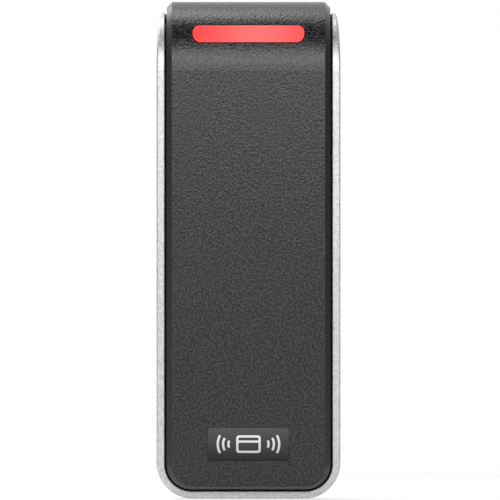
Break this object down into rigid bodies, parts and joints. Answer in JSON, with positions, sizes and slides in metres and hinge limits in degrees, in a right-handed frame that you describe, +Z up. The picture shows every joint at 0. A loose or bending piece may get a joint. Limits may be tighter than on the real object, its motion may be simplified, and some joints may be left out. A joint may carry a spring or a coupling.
{
  "type": "contactless card reader",
  "caption": "Slim upright wall-mounted contactless card reader: silver frame, black cover rolled over the top, red light bar, small badge; head hooks on a backplate with a bottom locking screw.",
  "frame": {"origin": "on the wall plane, midway between the two wall-screw slots, which is also mid-width and mid-height of the reader", "axes": "+Z up along the reader, +Y into the wall (the reader's front faces -Y), +X to the right as seen by a person facing the front"},
  "size_m": [0.045, 0.0195, 0.1215],
  "materials": {
    "plate_plastic": "moulded, fine matt",
    "silver_paint": "fine-grained silver paint on plastic, satin",
    "black_plastic": "leather-grained black plastic with smooth bevel",
    "seal_rubber": "matt",
    "red_light": "lit diffusing plastic",
    "clear_plastic": "clear",
    "diode_body": "cream package",
    "badge_gloss": "polished",
    "badge_silver": "bright silver",
    "board_green": "solder mask",
    "antenna_copper": "tinned copper under solder mask",
    "coil_wire": "enamelled copper wire",
    "ferrite_grey": "dull sintered",
    "chip_black": "moulded epoxy",
    "shield_metal": "tinned sheet",
    "can_metal": "drawn can",
    "sounder_black": "moulded",
    "sensor_dark": "dark infrared plastic",
    "terminal_green": "moulded nylon",
    "pin_metal": "tinned brass",
    "screw_steel": "zinc plated",
    "rear_plastic": "moulded, matt",
    "security_steel": "stainless"
  },
  "bodies": {
    "backplate": {"backplate": "plate_plastic"},
    "reader_head": {"silver_frame": "silver_paint", "front_cover": "black_plastic", "cover_seal": "seal_rubber", "light_lens": "red_light", "light_guide": "clear_plastic", "status_leds": "diode_body", "badge_plate": "badge_gloss", "badge_pictogram": "badge_silver", "main_board": "board_green", "hf_antenna": "antenna_copper", "lf_antenna_coil": "coil_wire", "ferrite_sheet": "ferrite_grey", "controller_chip": "chip_black", "radio_chip": "chip_black", "secure_chip": "chip_black", "wireless_module": "shield_metal", "crystal": "shield_metal", "power_inductor": "ferrite_grey", "smoothing_capacitors": "can_metal", "sounder": "sounder_black", "tamper_sensor": "sensor_dark", "tamper_window": "clear_plastic", "terminal_header_left": "terminal_green", "terminal_header_right": "terminal_green", "header_pins": "pin_metal", "terminal_plug_left": "terminal_green", "terminal_plug_right": "terminal_green", "clamp_screws": "screw_steel", "rear_cover": "rear_plastic", "rear_seal": "seal_rubber", "rear_cover_screws": "screw_steel", "board_screws": "screw_steel"},
    "security_screw": {"security_screw": "security_steel"}
  },
  "joints": [
    {"name": "head_tilt", "type": "hinge", "parent": "backplate", "child": "reader_head", "pos_m": [0, -0.005, 0.05465], "axis": [-1, 0, 0], "range_deg": [0, 15]},
    {"name": "security_screw_travel", "type": "slide", "parent": "reader_head", "child": "security_screw", "axis": [0, 0, -1], "range_m": [0, 0.0095]}
  ]
}
